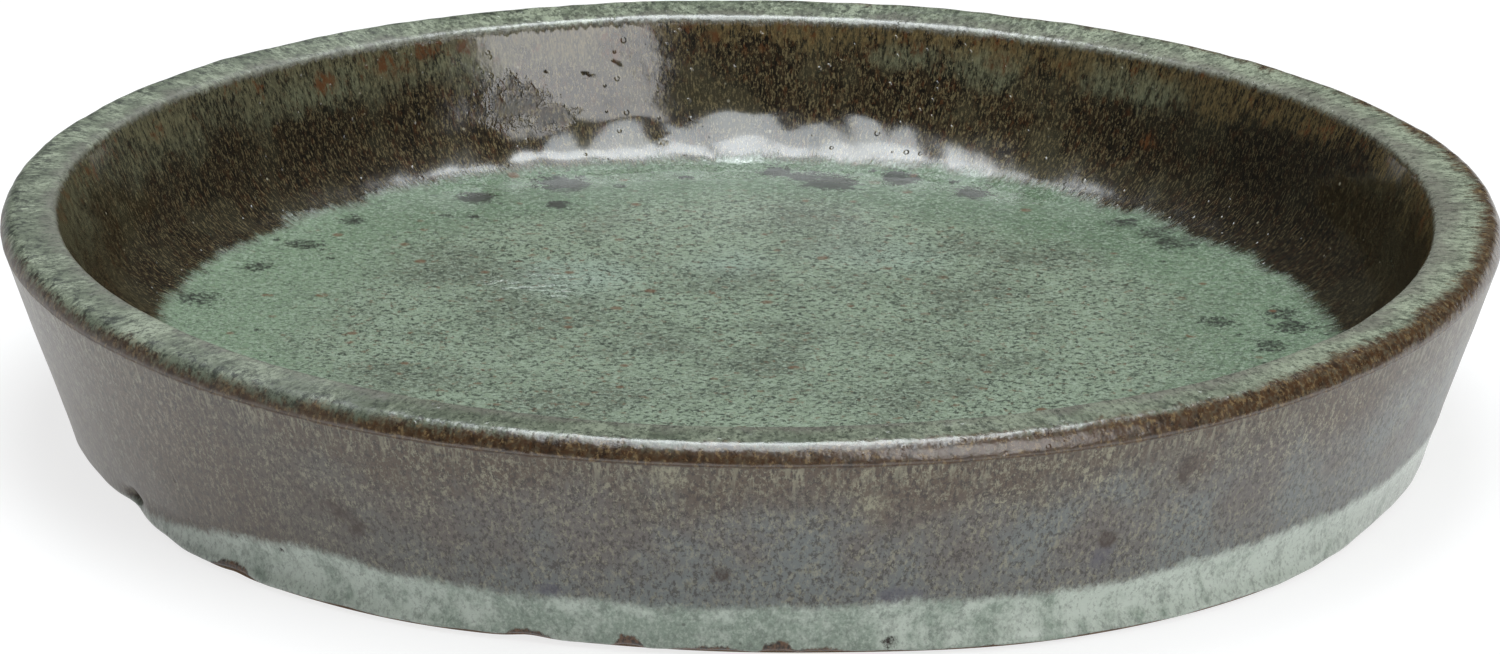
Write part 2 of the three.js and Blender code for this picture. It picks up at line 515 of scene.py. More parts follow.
@dataclass(frozen=True)
class HandWork:
    """How the hand-made bowl departs from a true turned one."""

    rim_sway: tuple[Wave, ...] = (Wave(2, 0.00011, -64), Wave(3, 0.00048, 22))
    rim_lift: tuple[Wave, ...] = (Wave(1, 0.00075, 135), Wave(5, 0.00008, 70))
    foot_sway: tuple[Wave, ...] = (Wave(2, 0.0015, 33), Wave(9, 0.00012, 0), Wave(14, 0.00008, 50))
    seam_waves: tuple[Wave, ...] = (Wave(1, 0.0007, 90), Wave(7, 0.0005, 90))
    run_waves: tuple[Wave, ...] = (
        Wave(1, 0.0004, 90), Wave(9, 0.0004, 60), Wave(14, 0.0003, 200), Wave(31, 0.0002, 10))
    seam_mean: float = 0.0108
    run_mean: float = 0.0109
    run_drop: tuple[float, float] = (-34, -72)
    run_return: tuple[float, float] = (-150, -185)
    run_cut: float = -210  # turns are counted from here, so that the long run is in one piece
    glaze_reach: float = 0.0011
    ragged: float = 0.0002
    ragged_fine: float = 0.0001
    chip_wear: float = 0.3  # share of a chip's height by which the coat's end is worn back
    chips: tuple[Knock, ...] = (
        Knock(-44.6, 2.4, 0.0021, 4), Knock(-17.0, 1.9, 0.0017, 4), Knock(-8.9, 1.1, 0.0030, 4),
        Knock(-2.8, 2.6, 0.0015, 4), Knock(2.4, 1.2, 0.0026, 4), Knock(5.6, 2.4, 0.0013, 4),
        Knock(18.8, 0.8, 0.0008, 2),
        Knock(118, 6, 0.0024, 4), Knock(205, 3, 0.0020, 4), Knock(262, 5, 0.0022, 4))
    foot_knocks: tuple[Knock, ...] = (
        Knock(-68, 9, 0.0014), Knock(-61, 2.6, 0.0016), Knock(-44.6, 1.4, 0.0004),
        Knock(-17.1, 1.6, 0.0006), Knock(148, 9, 0.0010), Knock(262, 4, 0.0010))
    knock_height: float = 0.012
    rim_push: Knock = Knock(99, 20, 0.0009)
    inner_sag: tuple[Knock, ...] = (Knock(185, 58, 0.0014, 4), Knock(158, 24, 0.0006))
    outer_sag: tuple[Knock, ...] = (Knock(28, 24, 0.0009), Knock(-32, 24, 0.0007))
    inner_spread: Knock = Knock(92, 30, 0.0025)
    tilt: float = 0.0080  # length over which the lip's sag grows
    inner_tilt: float = 0.0092  # where the inner sag starts, past the lip's inner edge
    inner_fade: tuple[float, float] = (0.026, 0.022)  # where it ends down the wall, and over what length
    outer_tilt: float = 0.0024  # where the outer sag starts, past the lip's inner edge
    outer_fade: float = 0.024
    foot_spread: tuple[Knock, ...] = (
        Knock(-38, 19, 0.0038, 4), Knock(34, 22, 0.0042, 4), Knock(0, 90, 0.0006))
    spread_height: float = 0.008
    lumps: tuple[Lumps, ...] = (Lumps(0.00016, 0.017, 3.1), Lumps(0.00005, 0.0062, 7.7))
    cove_lumps: tuple[Lumps, ...] = (Lumps(0.0010, 0.016, 1.3), Lumps(0.00045, 0.007, 5.9))
    cove_middle: float = 0.004  # past the pool's edge
    cove_reach: float = 0.010
    cove_front: float = 0.35  # share of the cove's lumps at the front and sides
    cove_back: tuple[float, float] = (0.80, 0.92)  # cosines from the back between which it grows to 1
    lip_lumps: tuple[Lumps, ...] = (Lumps(0.00012, 0.0042, 8.3),)
    shoulder_middle: float = 0.0045  # before the lip's crisp edge
    shoulder_reach: float = 0.005
    settle: float = 0.00020
    bead: float = 0.00010
    bead_reach: float = 0.0013
    taper: float = 0.0018  # length over which the lowest coat thins to its end
    thinning: float = 0.0006

    def seam_height(self, turns: np.ndarray) -> np.ndarray:
        """Height of the line where the wall's coat meets the foot band's."""
        return self.seam_mean + sum(wave.at(turns) for wave in self.seam_waves)

    def run_height(self, turns: np.ndarray) -> np.ndarray:
        """Height that the dark glaze ran down to; on the left it ran to the foot.

        Args:
            turns: Angles round the bowl, in radians.

        Returns:
            The height at each angle.
        """
        degrees = (np.degrees(turns) - self.run_cut) % 360 + self.run_cut
        fall = ease((degrees - self.run_drop[0]) / (self.run_drop[1] - self.run_drop[0]))
        climb = np.clip((degrees - self.run_return[1]) / (self.run_return[0] - self.run_return[1]), 0, 1)
        low = fall * climb
        return (self.run_mean + sum(wave.at(turns) for wave in self.run_waves)) * (1 - low)

    def worn(self, turns: np.ndarray) -> np.ndarray:
        """How far the lowest coat's end is worn back up the foot.

        Args:
            turns: Angles round the bowl, in radians.

        Returns:
            The distance at each angle.
        """
        ragged = self.ragged * np.cos(11 * turns + 1) * np.cos(23 * turns)
        ragged = ragged + self.ragged_fine * np.cos(67 * turns)
        return ragged - self.glaze_reach + self.chip_wear * self.chipped(turns)

    def chipped(self, turns: np.ndarray) -> np.ndarray:
        """Height of the chips in the lowest coat."""
        return knocked(self.chips, turns)

    def sag(self, turns: np.ndarray, along: np.ndarray, surface: Surface) -> tuple[np.ndarray, np.ndarray]:
        """How far the lip's two edges moved while the clay was soft.

        Args:
            turns: Angles round the bowl, in radians.
            along: Distances over the surface.
            surface: The surface that is worked.

        Returns:
            The move towards the axis and the drop in height.
        """
        fade_end, fade = self.inner_fade
        inside = np.clip((surface.lip + self.inner_tilt - along) / self.tilt, 0, 1)
        inside = inside * ease((along - surface.lip + fade_end) / fade)
        outside = np.clip((along - surface.lip - self.outer_tilt) / self.tilt, 0, 1)
        outside = outside * ease((surface.edge + self.outer_fade - along) / self.outer_fade)
        drop = inside * knocked(self.inner_sag, turns) + outside * knocked(self.outer_sag, turns)
        return inside * self.inner_spread.at(turns), drop

    def dents(self, surface: Surface) -> list[Dent]:
        """Dents, craters and pits in the surface.

        Args:
            surface: The surface that is worked.

        Returns:
            The dents.
        """
        at = surface.wall_along
        return [
            Dent(-60, at(0.0040), 0.0040, 0.0026, 0.0020),
            Dent(11, at(0.0029), 0.0016, 0.0013, 0.0009, 0.00012),
            Dent(-39, at(0.0092), 0.0006, 0.0006, 0.0004, 0.00010),
            Dent(-44, at(0.0086), 0.0006, 0.0006, 0.0003, 0.00010),
            Dent(-27.5, at(0.0210), 0.0008, 0.0008, 0.0003, 0.00010),
            Dent(13, at(0.0160), 0.0006, 0.0006, 0.0003, 0.00010),
            Dent(199.5, surface.lip - 0.0105, 0.0010, 0.0010, 0.00022, 0.00007),
            Dent(195.8, surface.lip - 0.0115, 0.0014, 0.0010, 0.00030, 0.00005),
            Dent(193, surface.lip - 0.0090, 0.0010, 0.0010, 0.00022, 0.00007),
            Dent(188.8, surface.lip - 0.0270, 0.0010, 0.0010, 0.00022, 0.00007),
        ]

    def lift(self, turns: np.ndarray, along: np.ndarray, radius: np.ndarray, height: np.ndarray,
             surface: Surface, fine: bool) -> np.ndarray:
        """How far the made surface stands off the ideal section.

        Args:
            turns: Angles round the bowl, in radians.
            along: Distances over the surface.
            radius: Distances from the axis.
            height: Heights above the table.
            surface: The surface that is worked.
            fine: Whether the lumps of the melted glaze count.

        Returns:
            The move along the surface's normal.
        """
        lift = np.full_like(along, -self.settle)
        for dent in self.dents(surface):
            lift = lift + dent.lift(turns, along, radius)
        if not fine:
            return lift
        points = np.stack([radius * np.sin(turns), -radius * np.cos(turns), height], -1)
        low, high = self.cove_back
        behind = np.clip((-np.cos(turns) - low) / (high - low), self.cove_front, 1)
        cove = behind * np.exp(-(((along - surface.pool - self.cove_middle) / self.cove_reach) ** 2))
        shoulder = np.exp(-(((along - surface.edge + self.shoulder_middle) / self.shoulder_reach) ** 2))
        for share, layers in ((1.0, self.lumps), (cove, self.cove_lumps), (shoulder, self.lip_lumps)):
            lift = lift + share * sum(lumps.at(points) for lumps in layers)
        below = along - surface.run_along(turns)
        lift = lift + self.bead * np.exp(-((below / self.bead_reach) ** 2))
        thin = np.clip((along - surface.stop_along(turns) + self.taper) / self.taper, 0, 1)
        return lift - self.thinning * thin * thin


class Coat(Enum):
    """A coat of glaze: the piece's name, the node it stands for and the finish's slot."""

    POOL = ("pool_coat", "floor_glaze", "celadon_pool")
    INNER = ("inner_wall_coat", "inner_wall_glaze", "dark_iron_glaze")
    RIM = ("rim_coat", "rim_glaze", "celadon_over_iron")
    OUTER = ("outer_wall_coat", "outer_wall_glaze", "mauve_iron_glaze")
    BAND = ("foot_band_coat", "foot_band_glaze", "pale_celadon")


class Painter:
    """Patterns that the finishes are painted with, on one material's nodes."""

    seed_steps: tuple[float, ...] = (0.31, 0.17, 0.23)
    choice_blur: float = 0.02
    dot_core: float = 0.55  # solid share of a dot's radius
    spot_core: float = 0.25  # solid share of a spot's half width
    spot_ragged: float = 2.4

    def __init__(self, bench: Bench, surface: Surface) -> None:
        """Reads where a point lies on the bowl.

        Args:
            bench: The material's nodes.
            surface: The bowl's surface, for its marks along the section.
        """
        self.bench = bench
        self.surface = surface
        self.unrolled = self._attribute(UNROLLED).outputs["Vector"]
        self.flat = bench.node("ShaderNodeTexCoord").outputs["Object"]
        split = bench.node("ShaderNodeSeparateXYZ", feeds={"Vector": self.unrolled})
        self.side, self.back, self.along = (Shade(bench, split.outputs[axis]) for axis in "XYZ")
        self.below_run = Shade(bench, self._attribute(BELOW_RUN).outputs["Fac"])
        self.bare = Shade(bench, self._attribute(BARE).outputs["Fac"])

    def _attribute(self, name: str) -> bpy.types.Node:
        """Reads what the mesh carries under a name."""
        return self.bench.node("ShaderNodeAttribute", {"attribute_name": name})

    def _ground(self, flat: bool, tall: float, seed: float) -> bpy.types.NodeSocket:
        """The coordinates of a pattern, drawn out down the wall and moved by a seed."""
        source = self.flat if flat else self.unrolled
        return self.bench.stretch(source, (1, 1, 1 / tall), [seed * step for step in self.seed_steps])

    def cloud(self, size: float, tall: float = 1.0, detail: float = 2.0, harsh: float = 0.5,
              seed: float = 0.0, flat: bool = False, bend: float = 0.0) -> Shade:
        """Clouds round the wall, or flat on the floor; tall draws them out down the wall into streaks."""
        return self.bench.clouds(self._ground(flat, tall, seed), size, detail, harsh, bend)

    def dots(self, apart: float, radius: float, share: float, seed: float = 0.0,
             flat: bool = False) -> Shade:
        """Scattered round dots.

        Args:
            apart: Mean distance between places for a dot.
            radius: Largest radius of a dot.
            share: Share of the places that have one.
            seed: Moves the pattern.
            flat: Whether it lies on the floor and not round the wall.

        Returns:
            A value of 1 in a dot's middle and 0 outside.
        """
        node = self.bench.node("ShaderNodeTexVoronoi", {"feature": "F1"}, {
            "Vector": self._ground(flat, 1.0, seed), "Scale": 1 / apart, "Randomness": 1.0,
        })
        pick = self.bench.node("ShaderNodeSeparateColor", feeds={0: node.outputs["Color"]})
        start, blur = 1 - share, self.choice_blur
        chosen = Shade(self.bench, pick.outputs[0]).smooth(start - blur, start + blur)
        size = radius / apart
        smaller = (1 - Shade(self.bench, pick.outputs[1])) * size
        reach = Shade(self.bench, node.outputs["Distance"]) + smaller
        return reach.smooth(size, self.dot_core * size) * chosen

    def spot(self, turn: float, along: float, across: float, down: float, edge: Shade,
             flat: bool = False) -> Shade:
        """One soft spot with an uneven edge.

        Args:
            turn: Where it is round the bowl.
            along: Where it is along the section.
            across: Half its width.
            down: Half its length, on the wall.
            edge: Clouds that make its edge uneven.
            flat: Whether it lies on the floor and not round the wall.

        Returns:
            A value of 1 in its middle and 0 outside.
        """
        angle, tall = math.radians(turn), down / across
        radius = along if flat else self.surface.section.rim_radius
        centre = (radius * math.sin(angle), -radius * math.cos(angle), 0 if flat else along / tall)
        source, scale = (self.flat, (1, 1, 0)) if flat else (self.unrolled, (1, 1, 1 / tall))
        place = self.bench.stretch(source, scale, (0, 0, 0))
        gap = self.bench.node("ShaderNodeVectorMath", {"operation": "DISTANCE"}, {0: place, 1: centre})
        ragged = (edge - 0.5) * (self.spot_ragged * across)
        reach = Shade(self.bench, gap.outputs["Value"]) + ragged
        return reach.smooth(across, self.spot_core * across)

    def spots(self, places: Sequence[Place], edge: Shade) -> Shade:
        """Several soft spots round the wall."""
        return reduce(Shade.at_least, [self.spot(*place, edge) for place in places])

    def floor_spots(self, places: Sequence[Round], edge: Shade) -> Shade:
        """Several soft spots on the floor."""
        marks = [self.spot(turn, reach, half, half, edge, True) for turn, reach, half in places]
        return reduce(Shade.at_least, marks)

    def on_wall(self, places: Sequence[Place]) -> list[Place]:
        """Places given by their height on the outer wall, as distances along."""
        return [(turn, self.surface.wall_along(height), *size) for turn, height, *size in places]


class Finish:
    """A glaze: its colours, gloss and relief."""

    roughness: float = 0.2
    relief: float = 0.00004
    bubbles: float = 0.0

    def colour(self, paint: Painter) -> Feed:
        """Paints the glaze's colour."""
        raise NotImplementedError

    def swell(self, paint: Painter) -> Feed:
        """Height of the glaze's uneven skin, place by place."""
        return self.relief

    def dullness(self, paint: Painter) -> Feed:
        """Roughness of the glaze, place by place."""
        return self.roughness


@dataclass(frozen=True)
class CeladonPool(Finish):
    """Grey-green pool on the floor: dark and rusty grain in the middle, pale and blotched near the wall,
    with painted sheen on its far half and painted shade at the back and right.
    """

    mid: Colour = (0.250, 0.315, 0.220)
    pale: Colour = (0.200, 0.282, 0.180)
    painted_sheen: Colour = (0.330, 0.420, 0.350)
    # painted sheen: the pale colour of the floor's painted reflection
    dull: Colour = (0.105, 0.122, 0.084)
    grain: Colour = (0.030, 0.042, 0.028)
    light: Colour = (0.420, 0.500, 0.400)
    shade: Colour = (0.095, 0.165, 0.090)
    blotch: Colour = (0.018, 0.023, 0.015)
    rust: Colour = (0.152, 0.074, 0.034)
    roughness: float = 0.36
    relief: float = 0.00007
    blotches: tuple[Round, ...] = (
        (212, 0.110, 0.0063), (201, 0.112, 0.0088), (171, 0.109, 0.0093), (174, 0.112, 0.0067),
        (164, 0.115, 0.0063), (155, 0.112, 0.0061), (177.5, 0.115, 0.0051), (259.5, 0.114, 0.0081),
        (127.5, 0.112, 0.0090), (131, 0.113, 0.0073), (136, 0.113, 0.0059), (99, 0.096, 0.0071),
        (96.5, 0.111, 0.0085), (101, 0.110, 0.0073), (238, 0.110, 0.0068), (228, 0.113, 0.0056),
        (247, 0.110, 0.0061), (205, 0.098, 0.0039), (90, 0.104, 0.0071), (60, 0.111, 0.0068),
        (20, 0.110, 0.0063), (320, 0.112, 0.0076), (290, 0.110, 0.0063))
    # painted sheen: places of the pale spots that stand for the room's soft reflection in the floor
    painted_sheen_places: tuple[Round, ...] = ((157, 0.060, 0.026), (222, 0.052, 0.020), (185, 0.046, 0.020))
    wrinkled: tuple[Round, ...] = ((230.5, 0.0536, 0.009), (233.2, 0.0610, 0.006))
    wrinkle: float = 0.00045

    def colour(self, paint: Painter) -> Feed:
        """Paints the pool.

        Args:
            paint: The patterns to paint with.

        Returns:
            The colour.
        """
        mix = paint.bench.mix
        broad = paint.cloud(0.045, detail=3, flat=True)
        patch = paint.cloud(0.028, detail=6, harsh=0.72, seed=1, flat=True)
        edge = paint.cloud(0.0036, detail=6, harsh=0.85, seed=5, flat=True, bend=0.4)
        grain = paint.cloud(0.0011, detail=4, harsh=0.85, seed=2, flat=True, bend=0.4)
        fine = paint.cloud(0.0007, detail=2, harsh=0.75, seed=3, flat=True)
        ring = (paint.along + (broad - 0.5) * 0.04 + (patch - 0.5) * 0.03).smooth(0.080, 0.104)
        # painted sheen: pale spots on the far half of the floor stand for the soft reflection of the room
        painted_sheen_mask = paint.floor_spots(self.painted_sheen_places, broad)
        colour = mix(ring, self.mid, self.pale)
        # painted shade: the pale ring is painted darker towards the back and the right, less on the left
        painted_side_lighting = paint.back.smooth(0.05, 0.14) * 0.72 + paint.side.smooth(0.05, 0.14) * 0.28
        painted_side_lighting = painted_side_lighting - paint.side.smooth(-0.05, -0.14) * 0.2
        colour = mix(ring * painted_side_lighting, colour, self.shade)
        colour = mix(painted_sheen_mask * 0.6, colour, self.painted_sheen)
        colour = mix(patch.smooth(0.42, 0.64) * (1 - ring * 0.85) * (0.75 - painted_sheen_mask * 0.4), colour, self.dull)
        colour = mix(fine.smooth(0.48, 0.62) * 0.6, colour, self.light)
        colour = mix(grain.smooth(0.49, 0.59) * (0.95 - ring * 0.34), colour, self.grain)
        rust = paint.cloud(0.0022, detail=4, harsh=0.75, seed=6, flat=True).smooth(0.58, 0.66)
        colour = mix(rust * (1 - ring * 0.75) * 0.7, colour, self.rust)
        dabs = paint.dots(0.0060, 0.0026, 0.55, 8, True) * edge.smooth(0.42, 0.55) * ring
        blotch = paint.floor_spots(self.blotches, edge).at_least(dabs)
        strength = 0.68 + paint.back.smooth(0.105, 0.125) * 0.47
        broken = blotch * strength + (grain - 0.5) * 2.4 + (edge - 0.5) * 0.9
        colour = mix(broken.smooth(0.28, 0.84) * blotch.smooth(0.0, 0.35) * 0.97, colour, self.blotch)
        specks = paint.dots(0.0060, 0.0017, 0.6, 6, True) * edge.smooth(0.38, 0.54)
        return mix(specks * 0.85, colour, self.rust)

    def swell(self, paint: Painter) -> Feed:
        """The pool's skin, wrinkled in one place."""
        edge = paint.cloud(0.0040, detail=3, seed=7, flat=True)
        return paint.floor_spots(self.wrinkled, edge) * self.wrinkle + self.relief

    def dullness(self, paint: Painter) -> Feed:
        """The pool is glossier where it climbs the far wall."""
        return self.roughness - paint.along.smooth(0.104, 0.115) * paint.back.smooth(0.118, 0.132) * 0.20


@dataclass(frozen=True)
class DarkIron(Finish):
    """Near-black iron glaze of the inner wall, streaked olive, with gold and rust under the lip, painted
    shade at its sides and painted glints.
    """

    black: Colour = (0.006, 0.005, 0.003)
    brown: Colour = (0.045, 0.030, 0.015)
    moss: Colour = (0.070, 0.063, 0.036)
    olive: Colour = (0.228, 0.182, 0.094)
    haze: Colour = (0.195, 0.205, 0.128)
    gold: Colour = (0.215, 0.150, 0.062)
    rust: Colour = (0.120, 0.046, 0.016)
    # painted glints: the pale colour of dots that stand for glints on bubbles
    painted_glint: Colour = (0.300, 0.270, 0.200)
    roughness: float = 0.13
    relief: float = 0.000025
    bubbles: float = 0.00012
    blister: float = 0.00010
    knots: tuple[Place, ...] = (
        (202.5, 0.1372, 0.0100, 0.0070), (199.5, 0.1338, 0.0070, 0.0040))
    blobs: tuple[Place, ...] = (
        (140, 0.1364, 0.0032, 0.0026), (193, 0.1480, 0.0030, 0.0032), (215, 0.1500, 0.0052, 0.0044),
        (211, 0.1520, 0.0036, 0.0026), (207, 0.1522, 0.0034, 0.0026), (222, 0.1490, 0.0044, 0.0040),
        (165, 0.1505, 0.0026, 0.0024), (157, 0.1492, 0.0040, 0.0030), (184, 0.1510, 0.0034, 0.0020))
    olives: tuple[Place, ...] = (
        (166, 0.1482, 0.012, 0.0050), (158, 0.1470, 0.015, 0.0065), (143, 0.1480, 0.018, 0.0060),
        (208, 0.1490, 0.012, 0.0060), (222, 0.1480, 0.020, 0.0070))

    def colour(self, paint: Painter) -> Feed:
        """Paints the dark wall.

        Args:
            paint: The patterns to paint with.

        Returns:
            The colour.
        """
        mix = paint.bench.mix
        lip = paint.surface.lip
        zone = paint.cloud(0.016, 0.9, 5, 0.65, seed=13)
        streak = paint.cloud(0.0011, 3.4, 4, 0.78, seed=11)
        fleck = paint.cloud(0.0005, 2.8, 3, 0.8, seed=12)
        rusty = paint.cloud(0.0014, 2.0, 4, 0.75, seed=14)
        edge = paint.cloud(0.0060, 1.3, 5, 0.75, seed=16)
        sides = paint.side.smooth(0.045, 0.125).at_least(paint.side.smooth(-0.045, -0.115))
        colour = mix(streak.smooth(0.40, 0.60), self.black, self.brown)
        colour = mix(zone.smooth(0.46, 0.60) * 0.6, colour, self.moss)
        colour = mix(rusty.smooth(0.53, 0.64) * zone.smooth(0.66, 0.44) * 0.5, colour, self.rust)
        # painted shade: the wall is painted darker towards its left and right sides, with fewer olive flecks
        # there
        colour = mix(sides * 0.5 + paint.side.smooth(0.06, 0.13) * 0.2, colour, self.black)
        shaded = sides * 0.34 + paint.side.smooth(0.06, 0.13) * 0.20
        colour = mix(fleck.smooth(0.51, 0.62) * (0.82 - shaded), colour, self.olive)
        high = paint.along + (zone - 0.5) * 0.030 + (streak - 0.5) * 0.014
        top = high.smooth(lip - 0.0075, lip - 0.0005)
        streaky = streak.smooth(0.43, 0.57) * 0.55 + fleck.smooth(0.46, 0.58) * 0.45
        left, right = paint.side.smooth(0.0, -0.09), paint.side.smooth(0.02, 0.10)
        colour = mix(top * streaky * (0.85 - left * 0.45 - right * 0.20), colour, self.gold)
        run = high.smooth(lip - 0.015, lip - 0.003) * left * 0.65
        run = run.at_least(paint.spots(self.olives, edge))
        colour = mix(run * (0.10 + streaky * 0.68), colour, self.haze)
        blot = edge.smooth(0.54, 0.62) * paint.along.smooth(lip - 0.009, lip - 0.003)
        blot = blot.at_least(paint.spots(self.blobs, edge))
        colour = mix(blot * (0.12 + rusty.smooth(0.44, 0.56) * 0.75), colour, self.rust)
        # painted glints: scattered pale dots stand for glints on bubbles in the glaze
        return mix(paint.dots(0.0036, 0.0005, 0.3, 15), colour, self.painted_glint)

    def swell(self, paint: Painter) -> Feed:
        """The wall's skin, blistered in a few places."""
        return self.knotty(paint) * self.blister + self.relief

    def dullness(self, paint: Painter) -> Feed:
        """The wall is duller where it blistered, and a little down in the cove."""
        fluffy = paint.along.smooth(0.140, 0.128) * 0.07
        return (self.knotty(paint) * 0.28).at_least(fluffy) + self.roughness

    def knotty(self, paint: Painter) -> Shade:
        """The blistered places."""
        return paint.spots(self.knots, paint.cloud(0.0050, 1, 4, 0.7, seed=17))


@dataclass(frozen=True)
class LipCeladon(Finish):
    """Streaked celadon over the lip, mauve inside, dark on the shoulder, rust brown at the crisp edge."""

    green: Colour = (0.172, 0.200, 0.136)
    pale: Colour = (0.400, 0.445, 0.325)
    dark: Colour = (0.024, 0.031, 0.020)
    mauve: Colour = (0.205, 0.185, 0.160)
    brown: Colour = (0.070, 0.033, 0.012)
    soot: Colour = (0.014, 0.009, 0.006)
    gold: Colour = (0.310, 0.215, 0.100)
    roughness: float = 0.28
    relief: float = 0.00014
    bubbles: float = 0.00007

    def colour(self, paint: Painter) -> Feed:
        """Paints the lip.

        Args:
            paint: The patterns to paint with.

        Returns:
            The colour.
        """
        mix = paint.bench.mix
        lip, edge = paint.surface.lip, paint.surface.edge
        patch = paint.cloud(0.013, 1, 5, 0.65, seed=21)
        streak = paint.cloud(0.0011, 2.2, 4, 0.8, seed=22)
        blot = paint.cloud(0.0023, 1.3, 6, 0.88, seed=25)
        fleck = paint.cloud(0.0009, 1.4, 3, 0.8, seed=24)
        left, right = paint.side.smooth(0.0, -0.12), paint.side.smooth(0.03, 0.12)
        sides = left + right
        pale = patch - left * 0.02 + right * 0.16
        colour = mix((pale * 0.5 + streak * 0.5).smooth(0.44, 0.60), self.green, self.pale)
        outer = (paint.along + (blot - 0.5) * 0.012).smooth(edge - 0.0105, edge - 0.0045)
        shade = blot.smooth(0.47, 0.58) * (0.76 - sides * 0.22 + outer * left * 0.45)
        colour = mix(shade.at_least(paint.back.smooth(-0.06, -0.14) * 0.34), colour, self.dark)
        high = paint.along + (patch - 0.5) * 0.012 + (streak - 0.5) * 0.006
        slope = (high - paint.side * 0.006).smooth(lip + 0.0060, lip + 0.0010)
        colour = mix(slope * 0.6, colour, self.mauve)
        colour = mix(fleck.smooth(0.51, 0.61) * 0.66, colour, self.dark)
        ragged = paint.along + (streak - 0.5) * 0.0060 + (patch - 0.5) * 0.0080 + (blot - 0.5) * 0.0050
        breaking = (ragged + paint.side * 0.014).smooth(edge - 0.0058, edge - 0.0028)
        colour = mix(breaking * (0.82 + fleck.smooth(0.38, 0.56) * 0.18), colour, self.brown)
        colour = mix(blot.smooth(0.50, 0.60) * breaking * 0.75, colour, self.soot)
        gold = paint.cloud(0.0010, 1.3, 3, 0.75, seed=23).smooth(0.53, 0.63)
        return mix(gold * breaking * 0.5, colour, self.gold)

    def dullness(self, paint: Painter) -> Feed:
        """The lip is duller on the left."""
        return paint.side.smooth(-0.06, -0.09) * 0.2 + self.roughness


@dataclass(frozen=True)
class MauveIron(Finish):
    """Mauve-grey outer wall with blue clouds, fine beige grain, a browner top, a left side painted darker as
    painted shade, and a few spots.
    """

    mauve: Colour = (0.152, 0.134, 0.122)
    blue: Colour = (0.180, 0.195, 0.190)
    brown: Colour = (0.105, 0.068, 0.042)
    grain: Colour = (0.046, 0.037, 0.032)
    beige: Colour = (0.390, 0.370, 0.262)
    spot: Colour = (0.052, 0.032, 0.021)
    tint: Colour = (0.110, 0.105, 0.140)
    roughness: float = 0.34
    relief: float = 0.00003
    drips: tuple[Place, ...] = (
        (-5.2, 0.0400, 0.0048, 0.0036), (8.5, 0.0338, 0.0040, 0.0056), (8.2, 0.0400, 0.0011, 0.0050))
    golden: tuple[Place, ...] = (
        (24.2, 0.0349, 0.016, 0.0060), (19, 0.0325, 0.012, 0.0050), (43.5, 0.0332, 0.024, 0.0080),
        (75, 0.0320, 0.030, 0.0080), (140, 0.0330, 0.030, 0.0070), (230, 0.0340, 0.026, 0.0060))
    tints: tuple[Place, ...] = (
        (-14.8, 0.0125, 0.0044, 0.0022), (11, 0.0130, 0.0080, 0.0026), (27.2, 0.0163, 0.0060, 0.0040))
    marks: tuple[Place, ...] = (
        (-31.8, 0.0226, 0.0052, 0.0046), (-30.4, 0.0198, 0.0044, 0.0036), (33.2, 0.0330, 0.0034, 0.0050),
        (-1.8, 0.0184, 0.0028, 0.0026), (27.8, 0.0205, 0.0030, 0.0026), (150, 0.0250, 0.0052, 0.0046),
        (232, 0.0300, 0.0038, 0.0050))

    def colour(self, paint: Painter) -> Feed:
        """Paints the outer wall.

        Args:
            paint: The patterns to paint with.

        Returns:
            The colour.
        """
        mix = paint.bench.mix
        edge = paint.surface.edge
        cloud = paint.cloud(0.022, 1.1, 5, 0.6, seed=31)
        warm = paint.cloud(0.032, 0.8, 5, 0.65, seed=34)
        streak = paint.cloud(0.0012, 6, 3, 0.7, seed=32)
        mottle = paint.cloud(0.0010, 1.6, 4, 0.85, seed=33)
        fine = paint.cloud(0.0010, 1.4, 3, 0.8, seed=35)
        uneven = paint.cloud(0.0060, 1.2, 5, 0.75, seed=36)
        colour = mix(cloud.smooth(0.38, 0.62), self.mauve, self.blue)
        colour = mix(paint.below_run.smooth(-0.012, -0.002) * 0.45, colour, self.blue)
        under = (paint.along + (streak - 0.5) * 0.014 + (warm - 0.5) * 0.045).smooth(edge + 0.019, edge)
        # browner top under the lip; the left side is painted darker brown as painted shade
        colour = mix((under * 0.85).at_least(paint.side.smooth(-0.03, -0.11) * 0.85), colour, self.brown)
        colour = mix(fine.smooth(0.49, 0.59) * 0.75, colour, self.grain)
        crowd = uneven.smooth(0.40, 0.60) * 0.32 + 0.27 + under * 0.10
        golden = paint.spots(paint.on_wall(self.golden), uneven)
        colour = mix(mottle.smooth(0.49, 0.61) * (crowd + golden * 0.22), colour, self.beige)
        top = paint.along.smooth(edge + 0.0080, edge + 0.0008)
        colour = mix(streak.smooth(0.52, 0.62) * top * 0.45, colour, self.beige)
        drips = paint.spots(paint.on_wall(self.drips), uneven)
        colour = mix(drips * (0.10 + mottle.smooth(0.42, 0.56) * 0.5), colour, self.beige)
        colour = mix(paint.spots(paint.on_wall(self.tints), uneven) * 0.6, colour, self.tint)
        marks = paint.spots(paint.on_wall(self.marks), uneven)
        colour = mix(marks * (0.62 + fine.smooth(0.40, 0.60) * 0.33), colour, self.spot)
        return mix(paint.dots(0.014, 0.0006, 0.3, 37), colour, self.spot)


